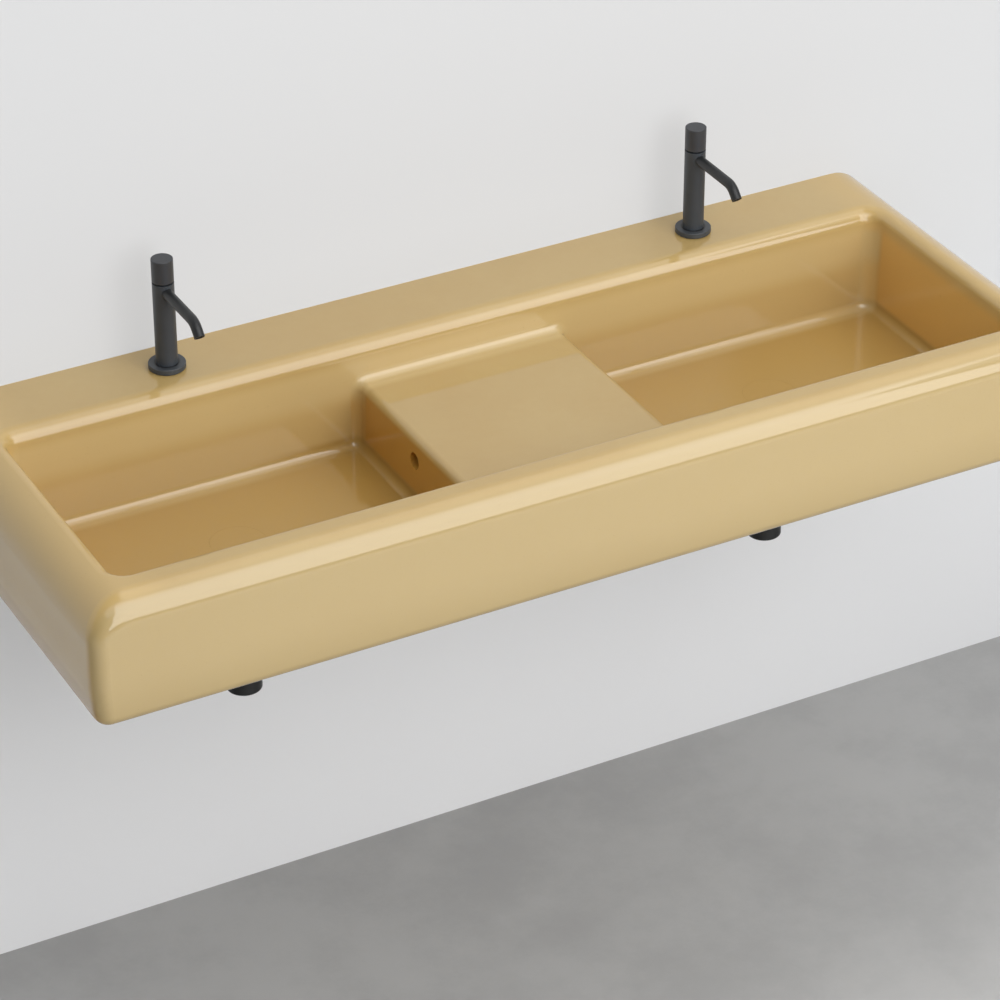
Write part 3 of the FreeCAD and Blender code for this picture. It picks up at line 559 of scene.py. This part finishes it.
# The taps' parts whose black carries painted light or shade, within their slot.
finish_of_part = {"tap_column": black_column_painted_light, "tap_base_ring": black_foot_painted_light, "tap_spout": black_spout_painted_shade}
slot_of_node = {s["node"]: s["material_slot"] for s in frame["record"]["subparts"]}
for name, piece in nodes.items():
    part = name.removeprefix("left_").removeprefix("right_")
    finish = finish_of_part.get(part, finish_of_slot[slot_of_node[name]])
    piece.data.materials.clear()
    piece.data.materials.append(finish)
print("dressed", len(nodes), "nodes")

# %% [markdown]
# Some pieces are too fine for the plain solids: the threads under the basin and the honeycomb
# in each spout's mouth. Each follows a rule, so a Geometry Nodes tree makes it from a few named
# sizes. The function below builds such a tree, runs it once on an empty mesh and hands back
# the plain result, so that nothing live is left on the piece.

# %% A function that runs a geometry tree once
def grown(name, sizes, build, finish):
    """The plain mesh that a tree makes from its named sizes, in metres."""
    tree = bpy.data.node_groups.new(name, "GeometryNodeTree")
    face = tree.interface
    face.new_socket(name="Geometry", in_out="OUTPUT", socket_type="NodeSocketGeometry")
    keys = {}
    for key, value in sizes.items():
        kind = "NodeSocketInt" if isinstance(value, int) else "NodeSocketFloat"
        keys[key] = face.new_socket(name=key, in_out="INPUT", socket_type=kind).identifier
    start = tree.nodes.new("NodeGroupInput")
    named = {key: Socket(tree, start.outputs[key]) for key in sizes}
    real = add_node(tree, "GeometryNodeRealizeInstances", {0: build(tree, named)})
    dressed = add_node(tree, "GeometryNodeSetMaterial", {"Geometry": real, "Material": finish})
    end = tree.nodes.new("NodeGroupOutput")
    tree.links.new(dressed.output, end.inputs[0])
    host = bpy.data.objects.new(name, bpy.data.meshes.new(name))
    scene.collection.objects.link(host)
    modifier = host.modifiers.new(name, "NODES")
    modifier.node_group = tree
    for key, value in sizes.items():
        modifier[keys[key]] = value
    depsgraph = bpy.context.evaluated_depsgraph_get()
    mesh = bpy.data.meshes.new_from_object(host.evaluated_get(depsgraph), depsgraph=depsgraph)
    bpy.data.objects.remove(host)
    return mesh


print("geometry trees ready")

# %% [markdown]
# What comes out of a tree stands at the origin and still has open seams. Before such a mesh can
# stand for a real piece, its seams are welded, it is moved to its place, and its faces are
# turned outwards if the sign of its volume is wrong. Only edges past a set angle stay sharp.

# %% A function that settles a mesh in its place
weld_distance = 2e-6
sharp_angle = math.radians(35)


def settled(mesh, place):
    """The mesh welded, moved to its place, faced outwards and shaded smooth but for its edges."""
    work = bmesh.new()
    work.from_mesh(mesh)
    bmesh.ops.remove_doubles(work, verts=work.verts, dist=weld_distance)
    bmesh.ops.dissolve_degenerate(work, edges=work.edges, dist=weld_distance)
    bmesh.ops.transform(work, matrix=place, verts=work.verts)
    if work.calc_volume(signed=True) < 0:
        bmesh.ops.reverse_faces(work, faces=work.faces)
    for face in work.faces:
        face.smooth = True
    for edge in work.edges:
        edge.smooth = len(edge.link_faces) == 2 and edge.calc_face_angle(0) < sharp_angle
    work.to_mesh(mesh)
    work.free()
    return mesh


print("welds below", weld_distance * 1000, "mm, edges sharp past", round(math.degrees(sharp_angle)))

# %% [markdown]
# A thread is one groove that winds round a tube. The tree starts from a flat grid and rolls it
# up: across the grid is the turn round the axis, and along it come first the threaded rows, and
# then one row for each plain step of the profile, such as a shoulder and the bore, back to the
# first row. Each threaded point moves in by how far it is along its own pitch, which cuts the
# groove, and the groove runs out smoothly at both ends.

# %% A tree that rolls up a threaded tube
thread_facets = 60
steps_per_pitch = 6
same_row = 0.25


def threaded_tube(tree, size, steps):
    """A threaded tube on height zero, followed by plain steps of radius and height."""
    rows = size["rows"]
    total = rows + (len(steps) + 1.0)
    grid = {"Size X": 1.0, "Size Y": 1.0, "Vertices X": size["facets"], "Vertices Y": total + 1.0}
    flat = add_node(tree, "GeometryNodeMeshGrid", grid)
    spot = add_node(tree, "GeometryNodeInputPosition")
    turns = axis_of(spot, "X") + 0.5
    row = ((axis_of(spot, "Y") + 0.5) * total).math("ROUND")
    threaded = row.math("LESS_THAN", rows + 0.5)
    closing = row.math("GREATER_THAN", total - 0.5)
    rise = size["length"] * (row / rows)
    wave = (rise / size["pitch"] - turns).math("PINGPONG", 0.5) * 2.0
    into = (rise.math("MINIMUM", size["length"] - rise) / size["pitch"]).clamped()
    nose = (size["chamfer"] - rise).math("MAXIMUM", 0.0)
    radius = threaded * (size["crest"] - nose - size["depth"] * into * (1.0 - wave))
    height = threaded * rise
    radius = radius + closing * (size["crest"] - size["chamfer"])
    for k, (step_radius, step_height) in enumerate(steps):
        here = row.math("COMPARE", rows + (k + 1.0), same_row)
        radius = radius + here * step_radius
        height = height + here * step_height
    angle = turns * (2 * math.pi)
    point = {0: radius * angle.math("COSINE"), 1: radius * angle.math("SINE"), 2: height}
    place = add_node(tree, "ShaderNodeCombineXYZ", point)
    return add_node(tree, "GeometryNodeSetPosition", {"Geometry": flat, "Position": place})


def thread_sizes(length, pitch, depth, crest, chamfer):
    """A thread's sizes for the tree, with the grid's rows and facets worked out from them."""
    rows = round(length / pitch * steps_per_pitch)
    return {
        "rows": rows, "facets": thread_facets + 1, "length": length,
        "pitch": pitch, "depth": depth, "crest": crest, "chamfer": chamfer,
    }


print("a thread has", thread_facets, "facets a turn and", steps_per_pitch, "rows a pitch")

# %% [markdown]
# Each tap is held from below by its tail: a threaded tube with a shoulder under the column and a
# narrower spigot that goes up into it. The waste's body is a wider threaded tube with a flange
# that seats in the bowl's floor, and two slots that let the overflow in.

# %% The tap tails' and waste bodies' sizes
tail_thread = thread_sizes(length=0.0652, pitch=0.001814, depth=0.00110, crest=0.01048, chamfer=0.0010)
shoulder_radius, shoulder_top = 0.0165, 0.0677
spigot_radius, spigot_top = 0.0099, 0.0787
tail_bore = 0.0065
tail_steps = [
    (shoulder_radius, tail_thread["length"]), (shoulder_radius, shoulder_top),
    (spigot_radius, shoulder_top), (spigot_radius, spigot_top),
    (tail_bore, spigot_top), (tail_bore, 0.0),
]
waste_thread = thread_sizes(length=0.0708, pitch=0.002309, depth=0.00140, crest=0.02095, chamfer=0.0006)
flange_radius, flange_top, flange_chamfer = 0.0305, 0.0728, 0.0005
waste_bore = 0.0175
waste_steps = [
    (flange_radius, waste_thread["length"]), (flange_radius, flange_top - flange_chamfer),
    (flange_radius - flange_chamfer, flange_top), (waste_bore, flange_top), (waste_bore, 0.0),
]
slot_size = (0.050, 0.014, 0.007)
slot_height = 0.0625


def tail_tree(tree, size):
    """The tap's threaded tail with its shoulder, spigot and bore."""
    return threaded_tube(tree, size, tail_steps)


def waste_tree(tree, size):
    """The waste's tube and flange, with the overflow slots cut through both sides."""
    whole = add_node(tree, "GeometryNodeMergeByDistance", {0: threaded_tube(tree, size, waste_steps)})
    cutter = add_node(tree, "GeometryNodeMeshCube", {"Size": slot_size})
    cutter = add_node(tree, "GeometryNodeTransform", {0: cutter, "Translation": (0, 0, slot_height)})
    inputs = {"Mesh 1": whole, "Mesh 2": cutter}
    return add_node(tree, "GeometryNodeMeshBoolean", inputs, operation="DIFFERENCE", solver="EXACT")


print("thread rows:", tail_thread["rows"], "on a tail and", waste_thread["rows"], "on a waste")

# %% [markdown]
# The spout's mouth holds a honeycomb that straightens the flow. Its tree lays points on a
# triangular lattice, keeps those inside the ring, and sets one thin hexagonal tube on each. The
# tubes' walls, and the ring round them, are a narrow rectangle swept along a closed path.

# %% Honeycomb
honeycomb = {
    "cell": 0.00125, "wall": 0.00016, "length": 0.0054, "ring": 0.00475,
    "ring_wall": 0.00055, "across": 9,
}
cell_sides, ring_facets = 6, 48
row_share = math.sqrt(3) / 2
ring_clearance_share = 0.45
ring_height_share = 1.1


def swept_wall(tree, path, width, height):
    """A closed wall of this width and height, swept along a closed path."""
    path = add_node(tree, "GeometryNodeSetCurveNormal", {0: path}, mode="Z_UP")
    profile = add_node(tree, "GeometryNodeCurvePrimitiveQuadrilateral", {0: width, 1: height})
    return add_node(tree, "GeometryNodeCurveToMesh", {0: path, 1: profile})


def cell_lattice(tree, pitch, across):
    """Points a pitch apart in rows, each second row moved along by half a pitch."""
    span = pitch * (across - 1.0)
    grid = {"Size X": span, "Size Y": span * row_share, "Vertices X": across, "Vertices Y": across}
    lattice = add_node(tree, "GeometryNodeMeshGrid", grid)
    spot = add_node(tree, "GeometryNodeInputPosition")
    row = (axis_of(spot, "Y") / (pitch * row_share)).math("ROUND")
    shift = row.math("FLOORED_MODULO", 2.0) * pitch * 0.5
    offset = add_node(tree, "ShaderNodeCombineXYZ", {0: shift})
    return add_node(tree, "GeometryNodeSetPosition", {"Geometry": lattice, "Offset": offset})


def honeycomb_tree(tree, size):
    """Hexagonal tubes side by side in a ring, centred on the origin."""
    pitch = size["cell"]
    lattice = cell_lattice(tree, pitch, size["across"])
    spot = add_node(tree, "GeometryNodeInputPosition")
    off_axis = spot.node("ShaderNodeVectorMath", {0: spot}, out=1, operation="LENGTH")
    inside = off_axis.math("LESS_THAN", size["ring"] - pitch * ring_clearance_share)
    hexagon = {"Resolution": cell_sides, "Radius": (pitch - size["wall"]) / math.sqrt(3)}
    edge = add_node(tree, "GeometryNodeCurvePrimitiveCircle", hexagon)
    upright = add_node(tree, "GeometryNodeTransform", {0: edge, "Rotation": (0, 0, math.pi / cell_sides)})
    cell = swept_wall(tree, upright, size["wall"], size["length"])
    inputs = {"Points": lattice, "Selection": inside, "Instance": cell}
    cells = add_node(tree, "GeometryNodeInstanceOnPoints", inputs)
    circle = {"Resolution": ring_facets, "Radius": size["ring"] - size["ring_wall"] / 2.0}
    ring = add_node(tree, "GeometryNodeCurvePrimitiveCircle", circle)
    ring = swept_wall(tree, ring, size["ring_wall"], size["length"] * ring_height_share)
    both = add_node(tree, "GeometryNodeJoinGeometry", {0: cells})
    tree.links.new(ring.output, both.output.node.inputs[0])
    return both


print("honeycomb", honeycomb["across"], "cells across,", round(honeycomb["cell"] * 1000, 2), "mm apart")

# %% [markdown]
# Each fine piece stands exactly where the plain one does. It rides on the same body, has the
# same slot, and hides the plain node, which stays in the frame for collision. Its place comes
# from the plain node's box. The honeycombs lean as the spouts' mouths do, so they turn about
# the middle of that box.

# %% Put the fine pieces in place of the plain ones
def put_in_place(name, mesh):
    """Lets a mesh stand for one plain node, on the same body, and hides the plain node."""
    piece = bpy.data.objects.new("fine_" + name, mesh)
    scene.collection.objects.link(piece)
    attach(piece, body_of(nodes[name])[0])
    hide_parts(name)
    low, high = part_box(name)
    points = [v.co for v in mesh.vertices]
    over = max(max(low[k] - p[k], p[k] - high[k]) for p in points for k in range(3))
    print(piece.name, len(mesh.polygons), "faces, past the plain piece by", round(over * 1000, 2), "mm")


def fine_piece(name, sizes, build, turn):
    """Replaces one plain node by a grown mesh with the same place and finish."""
    low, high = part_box(name)
    middle = (low + high) / 2
    foot = middle if turn else Vector((middle.x, middle.y, low.z))
    place = Matrix.Translation(foot) @ Matrix.Rotation(turn, 4, "X")
    finish = finish_of_slot[slot_of_node[name]]
    put_in_place(name, settled(grown("fine_" + name, sizes, build, finish), place))


spout_lean = math.radians(-44)
for side in ("left", "right"):
    fine_piece(side + "_tap_tail", tail_thread, tail_tree, 0.0)
    fine_piece(side + "_waste_body", waste_thread, waste_tree, 0.0)
    fine_piece(side + "_spout_flow_straightener", honeycomb, honeycomb_tree, spout_lean)

# %% [markdown]
# Each waste is shut by a cover that is glazed with the basin and ground to fit its recess, so
# that hardly a line shows round it. The plain solid has a wider gap and a rounder edge. This one
# is turned from a profile of four points, with a tight chamfer, and nearly fills the recess.

# %% Waste covers
cover_facets = 168
cover_chamfer = 0.00010
cover_foot = 0.00100
cover_growth = 0.00018


def turned_solid(profile, facets):
    """A closed solid turned about the upright axis from points of radius and height."""
    work = bmesh.new()
    angles = [2 * math.pi * k / facets for k in range(facets)]
    rings = []
    for radius, height in profile:
        points = [(radius * math.cos(a), radius * math.sin(a), height) for a in angles]
        rings.append([work.verts.new(point) for point in points])
    for under, over in zip(rings, rings[1:]):
        for k in range(facets):
            work.faces.new((under[k - 1], under[k], over[k], over[k - 1]))
    work.faces.new(reversed(rings[0]))
    work.faces.new(rings[-1])
    mesh = bpy.data.meshes.new("turned")
    work.to_mesh(mesh)
    work.free()
    return mesh


for side in ("left", "right"):
    name = side + "_waste_plug"
    low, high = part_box(name)
    radius, thickness = (high.x - low.x) / 2 + cover_growth, high.z - low.z
    profile = [
        (radius - cover_foot, 0.0), (radius, cover_foot),
        (radius, thickness - cover_chamfer), (radius - cover_chamfer, thickness),
    ]
    mesh = turned_solid(profile, cover_facets)
    mesh.materials.append(finish_of_slot[slot_of_node[name]])
    foot = Vector(((low.x + high.x) / 2, (low.y + high.y) / 2, low.z))
    put_in_place(name, settled(mesh, Matrix.Translation(foot)))

# %% [markdown]
# The stage is a plain pale wall, which the basin hangs on, and a plain floor of ground screed.
# Each is one flat sheet that is clear from behind, so that a camera behind the wall still sees
# the back. The wall is also open where the basin covers it, which lets light reach the ground
# back. For the camera that opening is a little smaller, so that its edge never shows beside the
# casting. A sheet can also show a share of its surface as a plain glow.

# %% Sheets of the stage
floor_drop = 0.770
wall_top = rim_z + 0.80
stage_reach = 9.0
floor_z = rim_z - floor_drop
cover_inset, cover_margin, cover_round = 0.014, 0.003, 0.030
wall_glow = 0.750


def covered(tree):
    """1 on the wall where the basin's back covers it, with rounded corners, else 0."""
    spot = place_on(tree)
    middle = (rim_z + basin_low.z) / 2
    seen = add_node(tree, "ShaderNodeLightPath", out=0)
    half_width = end_x - cover_round - seen * cover_inset
    half_height = rim_z - middle - cover_round - seen * cover_margin
    across = axis_of(spot, "X").math("ABSOLUTE") - half_width
    up = (axis_of(spot, "Z") - middle).math("ABSOLUTE") - half_height
    across, up = across.math("MAXIMUM", 0.0), up.math("MAXIMUM", 0.0)
    return (across * across + up * up).math("LESS_THAN", cover_round ** 2)


def stage_sheet(name, corners, roughness, opening=None, share=None):
    """One flat sheet that belongs to the stage, seen only from its front."""
    mesh = bpy.data.meshes.new(name)
    mesh.from_pydata(corners, [], [(0, 1, 2, 3)])
    sheet = bpy.data.objects.new(name, mesh)
    scene.collection.objects.link(sheet)
    material, tree, shader = new_material(name, Roughness=roughness)
    back = add_node(tree, "ShaderNodeNewGeometry", out=6)
    clear = add_node(tree, "ShaderNodeBsdfTransparent")
    front = Socket(tree, shader.outputs[0])
    if opening:
        back = back.math("MAXIMUM", opening(tree))
    if share:
        plain = add_node(tree, "ShaderNodeEmission", {"Strength": wall_glow})
        front = add_node(tree, "ShaderNodeMixShader", {0: share(tree), 1: front, 2: plain})
    both = add_node(tree, "ShaderNodeMixShader", {0: back, 1: front, 2: clear})
    tree.links.new(both.output, tree.nodes["Material Output"].inputs["Surface"])
    mesh.materials.append(material)
    sheet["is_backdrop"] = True
    return tree, shader


print("stage", 2 * stage_reach, "m wide, floor", floor_drop, "m below the rim")

# %% [markdown]
# The window lights the wall more at the rim's height and on the right, so the wall's colour is
# paler low down and on the left, which evens it out. Above the rim the camera and the mirror
# images see it partly as a plain glow, which keeps the taps' shadows on it faint. The soft light
# that the wall gives back to the basin isn't changed by this.

# %% Wall
wall_low, wall_high = (0.862, 0.867, 0.880), (0.650, 0.660, 0.675)
wall_low_right = (0.740, 0.745, 0.757)
wall_roughness = 0.9
wall_glow_share = 0.60
glow_begins = rim_z - 0.45, rim_z + 0.05
right_begins = 0.0, 0.9


def shown(tree):
    """The share of the plain pale wall that the camera and reflections see above the rim."""
    seen = add_node(tree, "ShaderNodeLightPath", out=0)
    mirrored = add_node(tree, "ShaderNodeLightPath", out=3)
    above = axis_of(place_on(tree), "Z").step(*glow_begins)
    return seen.math("MAXIMUM", mirrored) * above * wall_glow_share


wall_corners = [
    (-stage_reach, 0, floor_z), (stage_reach, 0, floor_z),
    (stage_reach, 0, wall_top), (-stage_reach, 0, wall_top),
]
tree, shader = stage_sheet("wall", wall_corners, wall_roughness, covered, shown)
place = place_on(tree)
low_colour = axis_of(place, "X").step(*right_begins).mix(wall_low, wall_low_right)
feed(shader, Base_Color=axis_of(place, "Z").step(floor_z, rim_z).mix(low_colour, wall_high))
print("wall from", round(floor_z, 3), "to", round(wall_top, 3))

# %% [markdown]
# The floor is cloudy mid grey at the wall, and further out it has painted light that makes it
# paler, as under a window, and a dull shine there. The basin's front mirrors that painted pale
# stretch, which keeps its colour soft.

# %% Floor
screed_dark, screed_light = (0.336, 0.336, 0.334), (0.384, 0.384, 0.381)
screed_painted_light = (0.82, 0.82, 0.81)
screed_roughness = 0.45
screed_patch = 0.20
screed_clouds = 0.35, 0.65
painted_light_begins = 0.32, 1.35

floor_corners = [
    (-stage_reach, -stage_reach, floor_z), (stage_reach, -stage_reach, floor_z),
    (stage_reach, 0, floor_z), (-stage_reach, 0, floor_z),
]
tree, shader = stage_sheet("floor", floor_corners, screed_roughness)
place = place_on(tree)
clouds = noise(place, screed_patch, detail=6.0, rough=0.68)
screed = clouds.step(*screed_clouds).mix(screed_dark, screed_light)
# Painted light: the floor turns paler away from the wall, as under a window.
outwards = (axis_of(place, "Y") * -1.0).step(*painted_light_begins)
feed(shader, Base_Color=outwards.mix(screed, screed_painted_light))
print("floor pale past", painted_light_begins[1], "m from the wall")

# %% [markdown]
# The light is one very large soft window, three metres out in front, which bends over at the top
# and fades towards the wall. It draws the long pale band on the front's rounding: the band's
# lower edge is the window's foot, not quite half a metre above the floor, and its upper edge is
# the fading top. An area lamp would show hard edges in the glaze all round. A sheet that glows
# by a shader can fade where the band does. The camera doesn't see the sheet.

# %% Window
window_out, window_over = -3.0, 2.6
window_left, window_right, window_foot = -0.985, 2.26, -0.25
window_edge = 0.03
over_fades = -2.05, -0.9
window_light, right_gain = 2.91, 0.13
gain_begins = 1.2, 2.0
glow_reach = 1.3
glow_light, over_light = 0.3, 1.05
over_begins = window_over - 0.3, window_over

left, right, over = window_left - glow_reach, window_right + glow_reach, over_fades[1]
corners = [
    (left, window_out, floor_z), (left, window_out, window_over), (left, over, window_over),
    (right, window_out, floor_z), (right, window_out, window_over), (right, over, window_over),
]
pane = bpy.data.objects.new("window", bpy.data.meshes.new("window"))
pane.data.from_pydata(corners, [], [(0, 1, 4, 3), (1, 2, 5, 4)])
scene.collection.objects.link(pane)
pane.visible_camera = False
pane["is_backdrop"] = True

material, tree, shader = new_material("window", Base_Color=(0, 0, 0), Emission_Color=(1, 1, 1))
px, py, pz = [axis_of(place_on(tree), letter) for letter in "XYZ"]
inside = px.band(window_left - window_edge, window_right + window_edge, 2 * window_edge)
inside = inside * pz.step(window_foot - window_edge, window_foot + window_edge)
inside = inside * (1.0 - py.step(*over_fades))
glow = glow_light + pz.step(*over_begins) * (over_light - glow_light)
bright = (px.step(*gain_begins) * right_gain + 1.0) * window_light
feed(shader, Emission_Strength=glow * (1.0 - inside) + inside * bright)
pane.data.materials.append(material)
print("window of", round(window_right - window_left, 2), "by", round(window_over - window_foot, 2), "m")

# %% [markdown]
# The rest of the room is painted on the world by direction: dim all round, a little brighter
# overhead with a roof light in it, and bright behind the wall, so that the back isn't black in
# views from there. Past the wall the camera meets a plain pale colour.

# %% World
sky_light, room_light, behind_light = 0.25, 0.12, 0.7
overhead_begins = 0.4, 0.7
behind_begins = 0.0, 0.2
roof_light, roof_height, roof_edge = 1.5, 0.75, 0.1
roof_left, roof_right = 0.12, 0.62
backdrop = 0.85

world = bpy.data.worlds.new("studio")
scene.world = world
world.use_nodes = True
tree = world.node_tree
direction = add_node(tree, "ShaderNodeTexCoord", out=0)
dx, dy, dz = [axis_of(direction, letter) for letter in "XYZ"]
overhead = dz.step(*overhead_begins)
roof = dz.step(roof_height - roof_edge, roof_height + roof_edge)
roof = roof * dx.band(roof_left - roof_edge, roof_right + roof_edge, 2 * roof_edge)
behind = dy.step(*behind_begins) * (1.0 - overhead)
level = room_light + overhead * (sky_light - room_light) + behind * (behind_light - room_light)
level = level + roof * (roof_light - sky_light)
seen = add_node(tree, "ShaderNodeLightPath", out=0)
strength = seen * backdrop + (1.0 - seen) * level
background = tree.nodes["Background"]
background.inputs["Color"].default_value = (1, 1, 1, 1)
tree.links.new(strength.output, background.inputs["Strength"])
print("world made, roof light", roof_light, "room", room_light)

# %% Finish
low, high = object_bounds()
